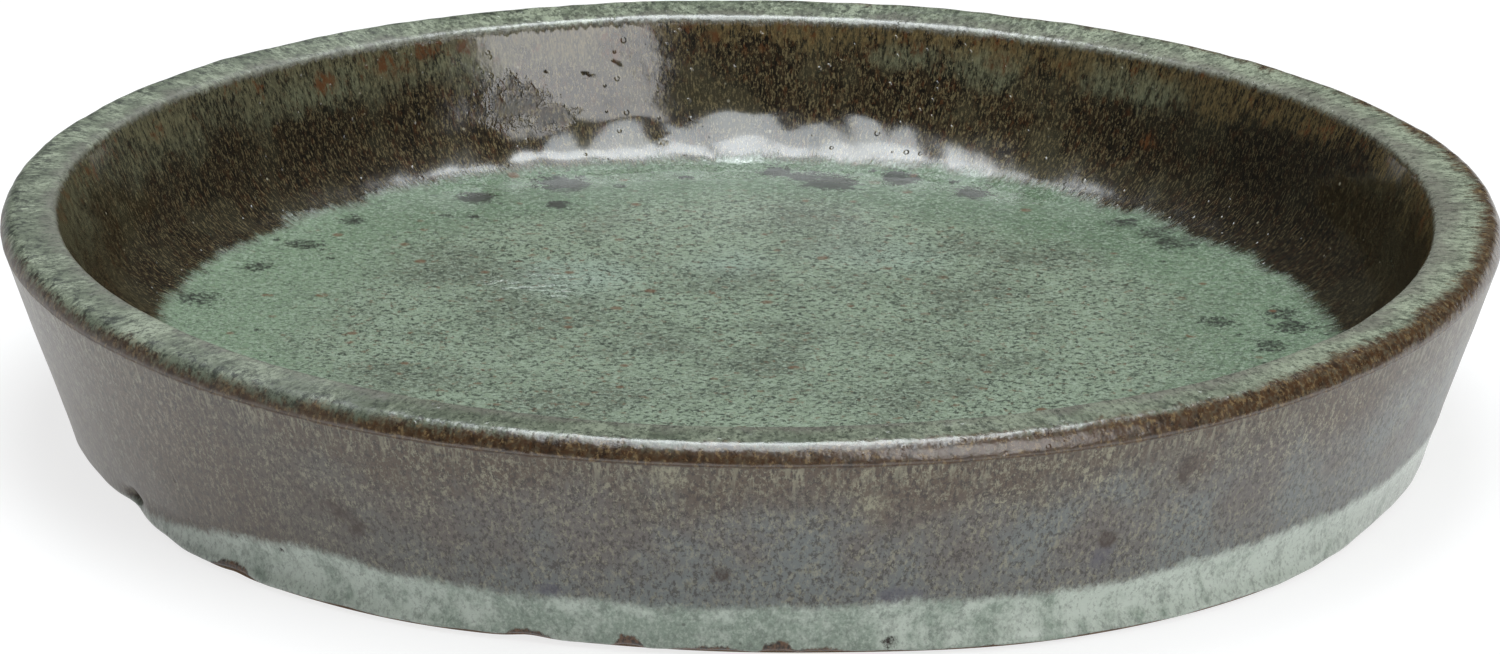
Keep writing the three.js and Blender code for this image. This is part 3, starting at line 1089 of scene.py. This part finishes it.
@dataclass(frozen=True)
class PaleCeladon(Finish):
    """Thin pale celadon of the foot band, cloudy and finely specked, chipped at the bottom, painted paler
    towards its sides as painted light.
    """

    mint: Colour = (0.350, 0.425, 0.350)
    pale: Colour = (0.680, 0.750, 0.662)
    grey: Colour = (0.185, 0.215, 0.182)
    chipped: Colour = (0.190, 0.100, 0.052)
    worn_dark: Colour = (0.036, 0.026, 0.019)
    roughness: float = 0.26
    relief: float = 0.00005
    pits: tuple[Place, ...] = (
        (11, 0.0029, 0.0018, 0.0015), (-39, 0.0092, 0.0007, 0.0007), (-44, 0.0086, 0.0006, 0.0006))

    def colour(self, paint: Painter) -> Feed:
        """Paints the foot band.

        Args:
            paint: The patterns to paint with.

        Returns:
            The colour.
        """
        mix = paint.bench.mix
        cloud = paint.cloud(0.008, 1, 6, 0.7, seed=41)
        mottle = paint.cloud(0.0030, 1.3, 6, 0.82, seed=42)
        fine = paint.cloud(0.0009, 1.2, 3, 0.75, seed=43)
        # painted light: the band is painted paler towards its sides, most on the right
        painted_side_lighting = paint.side.smooth(0.0, 0.12) * 0.15 + paint.side.smooth(-0.04, -0.10) * 0.10
        colour = mix((cloud + painted_side_lighting).smooth(0.41, 0.65), self.mint, self.pale)
        colour = mix(mottle.smooth(0.48, 0.62) * 0.45, colour, self.grey)
        colour = mix(fine.smooth(0.52, 0.62) * 0.5, colour, self.pale)
        colour = mix(fine.smooth(0.46, 0.38) * 0.4, colour, self.grey)
        colour = mix(paint.dots(0.0055, 0.0006, 0.4, 44), colour, self.grey)
        chip = (paint.bare + (mottle - 0.5) * 0.0040).smooth(-0.0004, 0.0004)
        colour = mix(chip, colour, mix(fine.smooth(0.40, 0.60), self.chipped, self.worn_dark))
        return mix(paint.spots(paint.on_wall(self.pits), fine), colour, self.worn_dark)


POOL, IRON, LIP, MAUVE, PALE = CeladonPool(), DarkIron(), LipCeladon(), MauveIron(), PaleCeladon()


class Glazing:
    """Makes the coats' materials, in which neighbouring glazes run into each other."""

    pit_depth: float = 0.00012
    wash_share: float = 2.2  # height of the broad swell for one of the fine peel
    dull_sway: float = 0.08
    refraction: dict[Coat, float] = {
        Coat.POOL: 1.85, Coat.INNER: 1.85, Coat.RIM: 1.85, Coat.OUTER: 1.5, Coat.BAND: 1.5}

    def __init__(self, surface: Surface) -> None:
        """Keeps the surface for its marks along the section."""
        self.surface = surface

    def pool_edge(self, paint: Painter) -> Shade:
        """Feathered edge of the pool, a little lower at the sides.

        Args:
            paint: The patterns to paint with.

        Returns:
            0 on the floor, 1 on the wall.
        """
        ragged = paint.cloud(0.0018, 3, 5, 0.8, seed=51) * 0.008 + paint.cloud(0.012, seed=52) * 0.006
        lower = paint.side.smooth(0.05, 0.13) * 0.0022 + paint.side.smooth(-0.07, -0.12) * 0.0012
        return (paint.along + ragged + lower).smooth(self.surface.pool + 0.0034, self.surface.pool + 0.0080)

    def lip_inside(self, paint: Painter) -> Shade:
        """Inner edge of the lip: 0 on the wall, 1 on the lip."""
        ragged = paint.cloud(0.0022, 2, 5, 0.75, seed=53) * 0.004
        return (paint.along + ragged).smooth(self.surface.lip + 0.0014, self.surface.lip + 0.0030)

    def lip_edge(self, paint: Painter) -> Shade:
        """Crisp outer edge of the lip: 0 on the lip, 1 on the wall."""
        ragged = paint.cloud(0.0016, 2, 2, seed=54) * 0.0008
        return (paint.along + ragged).smooth(self.surface.edge + 0.0006, self.surface.edge + 0.0012)

    def run_line(self, paint: Painter) -> Shade:
        """Line where the dark wall coat stopped: 0 on the wall, 1 on the band."""
        tongues, fringe = paint.cloud(0.0060, 1, 6, 0.8, seed=55), paint.cloud(0.0010, 1.5, 3, 0.8, seed=56)
        return (paint.below_run + (tongues * 0.0050 + fringe * 0.0030)).smooth(0.0026, 0.0054)

    def material(self, coat: Coat) -> bpy.types.Material:
        """Makes a coat's material.

        Args:
            coat: The coat to dress.

        Returns:
            Its material, with the neighbouring glazes where they run over it.
        """
        start, runs = {
            Coat.POOL: (POOL, [(self.pool_edge, IRON)]),
            Coat.INNER: (POOL, [(self.pool_edge, IRON), (self.lip_inside, LIP)]),
            Coat.RIM: (IRON, [(self.lip_inside, LIP), (self.lip_edge, MAUVE)]),
            Coat.OUTER: (LIP, [(self.lip_edge, MAUVE), (self.run_line, PALE)]),
            Coat.BAND: (MAUVE, [(self.run_line, PALE)]),
        }[coat]
        material, bench = new_material(coat.value[2])
        paint = Painter(bench, self.surface)
        colour: Feed = start.colour(paint)
        bubbles: Feed = start.bubbles
        dull = roughness = start.dullness(paint)
        swell = relief = start.swell(paint)
        for line, finish in runs:
            share = line(paint)
            colour = bench.mix(share, colour, finish.colour(paint))
            bubbles = share * (finish.bubbles - start.bubbles) + bubbles
            next_dull, next_swell = finish.dullness(paint), finish.swell(paint)
            roughness = share * (next_dull - dull) + roughness
            relief = share * (next_swell - swell) + relief
            start, dull, swell = finish, next_dull, next_swell
        flat = coat is Coat.POOL
        peel = paint.cloud(0.0017, 1, 2, seed=61, flat=flat)
        wash = paint.cloud(0.0065, 1, 2, seed=62, flat=flat)
        pits = paint.dots(0.0065, 0.0009, 0.3, 63, flat)
        blisters = paint.dots(0.0026, 0.0008, 0.5, 64, flat)
        height = (peel + wash * self.wash_share) * relief + blisters * bubbles - pits * self.pit_depth
        roughness = roughness + (peel - 0.5) * self.dull_sway
        bench.fired(height, {"Base Color": colour, "Roughness": roughness, "IOR": self.refraction[coat]})
        return material


@dataclass(frozen=True)
class BareClay:
    """Fired brown stoneware, gritty and matt."""

    brown: Colour = (0.210, 0.115, 0.060)
    pale: Colour = (0.330, 0.235, 0.155)
    grit: Colour = (0.045, 0.028, 0.018)
    roughness: float = 0.82
    grit_height: float = 0.0003
    lump_height: float = 0.0006

    def material(self) -> bpy.types.Material:
        """Makes the clay's material.

        Returns:
            The material.
        """
        material, bench = new_material("bare_clay")
        place = bench.node("ShaderNodeTexCoord").outputs["Object"]
        grit, patch, lumps = (
            bench.clouds(place, size, detail, 0.6) for size, detail in ((0.0009, 3), (0.012, 4), (0.004, 3)))
        colour = bench.mix(patch.smooth(0.38, 0.66), self.brown, self.pale)
        colour = bench.mix(grit.smooth(0.56, 0.70) * 0.7, colour, self.grit)
        height = grit * self.grit_height + lumps * self.lump_height
        bench.fired(height, {"Base Color": colour, "Roughness": self.roughness})
        return material


def strip_faces(first: np.ndarray) -> np.ndarray:
    """Quads between rings of points.

    Args:
        first: Point numbers, one row for each ring.

    Returns:
        Rows of four point numbers, seen from the ring's outer side.
    """
    after = np.roll(first, -1, axis=1)
    quads = np.stack([first[:-1], first[1:], after[1:], after[:-1]], -1)
    return quads.reshape(-1, 4)


def fan_faces(ring: np.ndarray, middle: int, below: bool = False) -> np.ndarray:
    """Triangles between a ring of points and a point in its middle.

    Args:
        ring: Point numbers round the bowl.
        middle: The middle point's number.
        below: Whether they are seen from below.

    Returns:
        Rows of three point numbers.
    """
    after = np.roll(ring, -1)
    sides = [after, ring] if below else [ring, after]
    return np.stack([np.full_like(ring, middle), *sides], 1)


def ring_turns(columns: int) -> np.ndarray:
    """Even angles round the bowl, in radians."""
    return np.linspace(0, 2 * math.pi, columns, endpoint=False)


def add_object(name: str, data: bpy.types.ID) -> bpy.types.Object:
    """Puts a mesh, lamp or camera into the scene.

    Args:
        name: The object's name.
        data: What it shows.

    Returns:
        The new object.
    """
    added = bpy.data.objects.new(name, data)
    bpy.context.scene.collection.objects.link(added)
    return added


def add_piece(name: str, verts: np.ndarray, faces: list[list[int]], node: str) -> bpy.types.Object:
    """Adds a smooth piece of the bowl.

    Args:
        name: The piece's name.
        verts: Its points.
        faces: Its faces, as lists of point numbers.
        node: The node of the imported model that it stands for.

    Returns:
        The new piece, on its body but not yet dressed.
    """
    mesh = bpy.data.meshes.new(name)
    mesh.from_pydata(verts.tolist(), [], faces)
    mesh.polygons.foreach_set("use_smooth", np.ones(len(mesh.polygons), bool))
    piece = add_object(name, mesh)
    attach(piece, BODY)
    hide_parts(node)
    return piece


@dataclass(frozen=True)
class BakeMap:
    """Lays rings of faces out flat, on the map from 0 to 1 that a coat's colours are baked on."""

    columns: int
    side_gap: float = 0.004
    row_gap: float = 0.02
    part_counts: tuple[int, ...] = (4, 5, 6, 8, 9, 10)
    under_room: tuple[float, float] = (0.0, 0.50)
    end_rooms: tuple[tuple[float, float], ...] = ((0.55, 0.70), (0.75, 0.90))
    face_middle: float = 0.47
    face_reach: float = 0.46
    end_reach: float = 0.468
    under_middle: float = 0.935
    under_reach: float = 0.056
    under_eye: float = 0.05

    def strip(self, rings: int, parts: int, low: float, high: float) -> np.ndarray:
        """Lays out a strip, cut into parts that lie one above the other.

        Args:
            rings: Rows of faces in the strip.
            parts: How many parts it is cut into round the bowl.
            low: Lower edge of its room on the map.
            high: Upper edge.

        Returns:
            Map places, corner by corner in the order of strip_faces.
        """
        column, ring = np.arange(self.columns), np.arange(rings)[:, None]
        wide, tall = self.columns // parts, (high - low) / parts
        places = []
        for up, on in ((0, 0), (1, 0), (1, 1), (0, 1)):
            across = self.side_gap + (1 - 2 * self.side_gap) * (column % wide + on) / wide
            row = self.row_gap + (1 - 2 * self.row_gap) * (ring + up) / rings
            upward = low + tall * (column // wide + row)
            places.append(np.stack([np.broadcast_to(across, upward.shape), upward], -1))
        return np.stack(places, 2).reshape(-1, 2)

    def disc(self, middle: float, reach: np.ndarray) -> np.ndarray:
        """Lays out rings of faces round a point.

        Args:
            middle: Both coordinates of the point.
            reach: Distance of each ring of points from it.

        Returns:
            Map places, corner by corner in the order of strip_faces.
        """
        turns = np.append(ring_turns(self.columns), 2 * math.pi)
        ring = middle + reach[:, None, None] * np.stack([np.sin(turns), np.cos(turns)], -1)
        here, after = ring[:, :-1], ring[:, 1:]
        return np.stack([here[:-1], here[1:], after[1:], after[:-1]], 2).reshape(-1, 2)

    def coat(self, rings: int, under_rings: int, slim: float) -> np.ndarray:
        """Lays out a coat that goes round the bowl: its face, underside and two ends.

        Args:
            rings: Rows of faces on its face.
            under_rings: Rows on its underside.
            slim: How many times longer than high the coat is.

        Returns:
            Map places, corner by corner.
        """
        parts = min(self.part_counts, key=lambda count: abs(count - math.sqrt(slim)))
        top = parts / (parts + 1)
        rooms = [(under_rings, *self.under_room), *((1, *room) for room in self.end_rooms)]
        below = [
            self.strip(rows, 1, top + (1 - top) * low, top + (1 - top) * high) for rows, low, high in rooms]
        return np.vstack([self.strip(rings, parts, 0.0, top), *below])

    def pool(self, share: np.ndarray, under_rings: int) -> np.ndarray:
        """Lays out the pool: its face, underside and end, then the fans in its middle.

        Args:
            share: How far out each ring of points lies on its face, up to 1.
            under_rings: Rows of faces on its underside.

        Returns:
            Map places, corner by corner.
        """
        face = self.face_reach * share
        under = self.under_reach * np.linspace(1, self.under_eye, under_rings + 1)
        end = np.array([self.face_reach, self.end_reach])
        top = self.disc(self.face_middle, np.array([0.0, face[0]])).reshape(-1, 4, 2)
        low = self.disc(self.under_middle, np.array([0.0, under[-1]])).reshape(-1, 4, 2)
        return np.vstack([
            self.disc(self.face_middle, face), self.disc(self.under_middle, under),
            self.disc(self.face_middle, end),
            top[:, :3].reshape(-1, 2), low[:, (0, 2, 1)].reshape(-1, 2),
        ])


@dataclass(frozen=True)
class Skin:
    """A closed skin: its points and what they carry, its faces and their places on the bake map."""

    points: np.ndarray
    normals: np.ndarray
    along: np.ndarray
    turns: np.ndarray
    faces: list[list[int]]
    places: np.ndarray


@dataclass(frozen=True)
class GlazeCoats:
    """The five coats of glaze, each a closed skin over the clay."""

    surface: Surface
    columns: int = 720
    ring_step: float = 0.0007
    fewest_rings: int = 12
    pool_rings: int = 96
    pool_crowding: float = 0.75
    under_rings: int = 10

    def spans(self, turns: np.ndarray) -> dict[Coat, tuple[np.ndarray, np.ndarray]]:
        """Where each coat starts and ends along the section.

        Args:
            turns: Angles round the bowl, in radians.

        Returns:
            The start and the end of each coat, at each angle.
        """
        form, even = self.surface, np.ones_like(turns)
        marks = [
            EYE * even, form.pool * even, form.lip * even, form.edge * even,
            form.seam_along(turns), form.stop_along(turns)]
        return dict(zip(Coat, zip(marks, marks[1:])))

    def shares(self, coat: Coat, length: float) -> np.ndarray:
        """Rings of points over a coat's face.

        Args:
            coat: The coat to build.
            length: Its greatest length along the section.

        Returns:
            How far along the coat each ring lies, from 0 to 1.
        """
        if coat is Coat.POOL:
            return np.linspace(0, 1, self.pool_rings + 1) ** self.pool_crowding
        rings = max(self.fewest_rings, round(length / self.ring_step))
        return np.linspace(0, 1, rings + 1)

    def face(self, turns: np.ndarray, start: np.ndarray, end: np.ndarray,
             share: np.ndarray) -> tuple[np.ndarray, np.ndarray, np.ndarray]:
        """Works out a coat's face, with one more ring past each end for the normals.

        Args:
            turns: Angles round the bowl, in radians.
            start: Where the coat starts along the section, at each angle.
            end: Where it ends.
            share: How far along the coat each ring lies.

        Returns:
            Points, normals and distances along, ring by ring.
        """
        wider = np.concatenate([[-share[1]], share, [2 - share[-2]]])[:, None]
        along = np.maximum(start + wider * (end - start), 0.0)
        grid = self.surface.points(np.broadcast_to(turns, along.shape), along)
        lengthwise = grid[2:] - grid[:-2]
        around = np.roll(grid, -1, axis=1) - np.roll(grid, 1, axis=1)
        normals = np.cross(lengthwise, around[1:-1])
        normals /= np.linalg.norm(normals, axis=-1, keepdims=True)
        return grid[1:-1], normals, along[1:-1]

    def skin(self, coat: Coat) -> Skin:
        """Closes a coat's face with an underside and ends; the pool closes in its middle.

        Args:
            coat: The coat to build.

        Returns:
            The closed skin.
        """
        section, bake = self.surface.section, BakeMap(self.columns)
        turns = ring_turns(self.columns)
        start, end = self.spans(turns)[coat]
        share = self.shares(coat, float(np.max(end - start)))
        over, normals, along = self.face(turns, start, end, share)
        under_along = start + np.linspace(0, 1, self.under_rings + 1)[:, None] * (end - start)
        under = self.surface.points(np.broadcast_to(turns, under_along.shape), under_along, section.glaze)
        under_normals = np.repeat(-normals[:1], len(under), axis=0)
        points = np.vstack([over, under]).reshape(-1, 3)
        normals = np.vstack([normals, under_normals]).reshape(-1, 3)
        alongs = np.vstack([along, under_along]).ravel()
        angles = np.tile(turns, len(over) + len(under))
        top, low = np.split(np.arange(len(points)).reshape(-1, self.columns), [len(over)])
        faces = [strip_faces(top), strip_faces(low[::-1]), strip_faces(np.stack([top[-1], low[-1]]))]
        if coat is Coat.POOL:
            middle = len(points)
            faces += [fan_faces(top[0], middle), fan_faces(low[0], middle + 1, below=True)]
            points = np.vstack([points, over[0].mean(0), under[0].mean(0)])
            normals = np.vstack([normals, (0, 0, 1), (0, 0, -1)])
            alongs, angles = np.append(alongs, (0, 0)), np.append(angles, (0, 0))
            places = bake.pool(along[:, 0] / along[-1, 0], self.under_rings)
        else:
            faces.append(strip_faces(np.stack([low[0], top[0]])))
            slim = 2 * math.pi * section.rim_radius / float(np.mean(end - start))
            places = bake.coat(len(over) - 1, self.under_rings, slim)
        rows = [row for part in faces for row in part.tolist()]
        return Skin(points, normals, alongs, angles, rows, places)

    def build(self, coat: Coat) -> bpy.types.Object:
        """Builds one coat, with its normals and the coordinates that it is painted by.

        Args:
            coat: The coat to build.

        Returns:
            The new piece, not yet dressed.
        """
        form, skin = self.surface, self.skin(coat)
        name, node, slot = coat.value
        piece = add_piece(name, skin.points, skin.faces, node)
        mesh = piece.data
        mesh.uv_layers.new(name=BAKE_MAP).data.foreach_set("uv", skin.places.ravel().astype(np.float32))
        radius = form.section.rim_radius
        unrolled = np.stack([radius * np.sin(skin.turns), -radius * np.cos(skin.turns), skin.along], -1)
        below = skin.along - form.run_along(skin.turns)
        bare = form.hand.chipped(skin.turns) + skin.along - form.stop_along(skin.turns)
        carried = (
            (UNROLLED, "FLOAT_VECTOR", "vector", unrolled), (BELOW_RUN, "FLOAT", "value", below),
            (BARE, "FLOAT", "value", bare))
        for attribute, kind, field, values in carried:
            data = mesh.attributes.new(attribute, kind, "POINT").data
            data.foreach_set(field, values.ravel().astype(np.float32))
        mesh.normals_split_custom_set_from_vertices(skin.normals.tolist())
        return piece

    def dress(self, coat: Coat, piece: bpy.types.Object, glazing: Glazing) -> None:
        """Gives a coat its material."""
        piece.data.materials.append(glazing.material(coat))


@dataclass(frozen=True)
class ClayBody:
    """The fired clay body under the coats, bare at the foot."""

    surface: Surface
    columns: int = 720
    ring_step: float = 0.0022
    foot_zone: float = 0.0060
    foot_gap: float = 0.0005
    foot_rings: int = 26
    bond: float = 0.00004
    ring_round: float = 0.0012
    chamfer: float = 0.0003
    recess_round: float = 0.001
    ring_middle: float = 0.6  # share of the standing ring's width
    recess_rings: tuple[float, ...] = (0.6, 0.25)  # shares of the ring's inner radius

    def underside(self) -> list[tuple[float, float]]:
        """Section of the standing ring and the recess.

        Returns:
            Radius and height of each ring of points, from the ring's flat in to the middle.
        """
        section = self.surface.section
        inner = section.foot_centre[0] - section.foot_ring_width
        recess_edge = inner - section.recess_slope
        return [
            (inner + self.ring_middle * section.foot_ring_width, 0.0), (inner + self.ring_round, 0.0),
            (inner, self.chamfer), (recess_edge, section.recess - self.chamfer),
            (recess_edge - self.recess_round, section.recess),
            *((share * inner, section.recess) for share in self.recess_rings), (EYE, section.recess),
        ]

    def build(self) -> bpy.types.Object:
        """Builds the body as a closed mesh.

        Returns:
            The new piece, not yet dressed.
        """
        form, turns = self.surface, ring_turns(self.columns)
        glazed = np.linspace(EYE, form.stop - self.foot_zone, round(form.stop / self.ring_step))
        foot = np.linspace(form.stop - self.foot_zone + self.foot_gap, form.end, self.foot_rings)
        along = np.concatenate([glazed, foot])[:, None] * np.ones_like(turns)
        upper = form.points(np.broadcast_to(turns, along.shape), along, form.section.glaze + self.bond)
        upper[..., 2] = np.maximum(upper[..., 2], 0.0)
        lower = np.array([
            np.stack([radius * np.sin(turns), -radius * np.cos(turns), np.full_like(turns, height)], -1)
            for radius, height in self.underside()
        ])
        grid = np.vstack([upper, lower])
        ids = np.arange(grid[..., 0].size).reshape(grid.shape[:2])
        verts = np.vstack([grid.reshape(-1, 3), grid[0].mean(0), grid[-1].mean(0)])
        fans = (fan_faces(ids[0], ids.size), fan_faces(ids[-1], ids.size + 1, below=True))
        faces = [row for part in (strip_faces(ids), *fans) for row in part.tolist()]
        return add_piece("fired_clay", verts, faces, "clay_body")

    def dress(self, piece: bpy.types.Object) -> None:
        """Gives the body its material."""
        piece.data.materials.append(BareClay().material())


@dataclass(frozen=True)
class Lamp:
    """A soft box that looks at the bowl."""

    name: str
    turn: float
    elevation: float
    distance: float
    wide: float
    tall: float
    power: float
    tint: Colour = (1.0, 1.0, 1.0)

    def hang(self) -> None:
        """Hangs the lamp in the studio."""
        light = bpy.data.lights.new(self.name, "AREA")
        light.shape, light.size, light.size_y = "RECTANGLE", self.wide, self.tall
        light.energy, light.color = self.power, self.tint
        lamp = add_object(self.name, light)
        turn, lift = math.radians(self.turn), math.radians(self.elevation)
        place = Vector((math.sin(turn) * math.cos(lift), -math.cos(turn) * math.cos(lift), math.sin(lift)))
        lamp.location = place * self.distance
        lamp.rotation_euler = place.to_track_quat("Z", "Y").to_euler()
        lamp.visible_camera = False


@dataclass(frozen=True)
class Studio:
    """Plain pale floor, soft light and the camera of the photograph."""

    lamps: tuple[Lamp, ...] = (
        Lamp("overhead_soft_box", 180, 88.5, 1.35, 0.80, 1.63, 16.3, (0.94, 1.0, 1.03)),
        Lamp("back_soft_box", 174, 69, 1.45, 0.72, 0.65, 4.2, (0.94, 1.0, 1.03)),
        Lamp("side_soft_box", 37, 36, 1.35, 0.68, 0.85, 5.2),
    )
    floor_radius: float = 12.0
    floor_sides: int = 64
    floor_white: float = 0.84
    floor_glow: float = 1.18
    floor_share: float = 0.66  # share of the glow in what is seen of the floor
    ambient: float = 0.15
    sky_high: float = 0.04  # how bright the room is above its white wall, as gloss sees it
    horizon: tuple[float, float] = (0.06, 0.01)  # rise of a ray over which that wall fades in
    lens: float = 176.28
    sensor: float = 36.0
    distance: float = 1.47268
    elevation: float = 18.0886
    roll: float = 0.823
    target: tuple[float, float, float] = (0.00009, 0.0, 0.01897)

    def seen_directly(self, bench: Bench) -> Shade:
        """Tells what the camera sees, straight or in gloss or glass.

        Args:
            bench: The nodes to add to.

        Returns:
            1 where a ray comes from the camera, a mirror or glass.
        """
        path = bench.node("ShaderNodeLightPath").outputs
        seen = Shade(bench, path["Is Camera Ray"]).at_least(Shade(bench, path["Is Glossy Ray"]))
        return seen.at_least(Shade(bench, path["Is Transmission Ray"]))

    def lay_floor(self) -> None:
        """Lays the pale floor."""
        turns = ring_turns(self.floor_sides)
        verts = [(self.floor_radius * math.sin(t), self.floor_radius * math.cos(t), 0.0) for t in turns]
        mesh = bpy.data.meshes.new("studio_floor")
        mesh.from_pydata(verts, [], [list(range(len(verts)))[::-1]])
        material, bench = new_material("studio_floor")
        paint = bench.node("ShaderNodeBsdfDiffuse", {}, {"Color": (self.floor_white,) * 3})
        glow = bench.node("ShaderNodeEmission", {}, {"Strength": self.floor_glow})
        share = self.seen_directly(bench) * self.floor_share
        shaders = {0: share, 1: paint.outputs[0], 2: glow.outputs[0]}
        bench.surface(bench.node("ShaderNodeMixShader", {}, shaders))
        mesh.materials.append(material)
        add_object("studio_floor", mesh)

    def light(self) -> None:
        """Hangs the lamps and sets the even light of the room."""
        for lamp in self.lamps:
            lamp.hang()
        world = bpy.data.worlds.new("studio_room")
        world.use_nodes = True
        bpy.context.scene.world = world
        bench = Bench(world.node_tree)
        way = bench.node("ShaderNodeTexCoord").outputs["Generated"]
        height = Shade(bench, bench.node("ShaderNodeSeparateXYZ", feeds={"Vector": way}).outputs["Z"])
        seen = self.seen_directly(bench)
        camera = Shade(bench, bench.node("ShaderNodeLightPath").outputs["Is Camera Ray"])
        glow = camera.at_least(height.smooth(*self.horizon) * (1 - self.sky_high) + self.sky_high)
        strength = seen * glow + (1 - seen) * self.ambient
        room = bench.node("ShaderNodeBackground", {}, {"Strength": strength})
        bench.surface(room, "ShaderNodeOutputWorld")

    def set_camera(self) -> None:
        """Sets the camera where the photograph was taken from."""
        data = bpy.data.cameras.new("photo_camera")
        data.sensor_fit, data.sensor_width, data.lens = "HORIZONTAL", self.sensor, self.lens
        camera = add_object("photo_camera", data)
        lift, roll = math.radians(self.elevation), math.radians(self.roll)
        back = Vector((0, -math.cos(lift), math.sin(lift)))
        tilt = Matrix.Rotation(math.pi / 2 - lift, 4, "X") @ Matrix.Rotation(roll, 4, "Z")
        camera.matrix_world = Matrix.Translation(Vector(self.target) + back * self.distance) @ tilt
        bpy.context.scene.camera = camera


def main() -> None:
    """Builds the bowl around the frame and sets the studio."""
    logging.basicConfig(level=logging.INFO, format="%(name)s: %(message)s")
    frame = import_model()
    bpy.context.scene.view_settings.view_transform = "Standard"
    surface = Surface(Section.from_frame(frame["record"]), HandWork())
    clay = ClayBody(surface)
    body = clay.build()
    clay.dress(body)
    LOG.info("%s: %d faces", body.name, len(body.data.polygons))
    coats, glazing = GlazeCoats(surface), Glazing(surface)
    for coat in Coat:
        piece = coats.build(coat)
        coats.dress(coat, piece, glazing)
        LOG.info("%s: %d faces", piece.name, len(piece.data.polygons))
    studio = Studio()
    studio.lay_floor()
    studio.light()
    studio.set_camera()


if __name__ == "__main__":
    main()
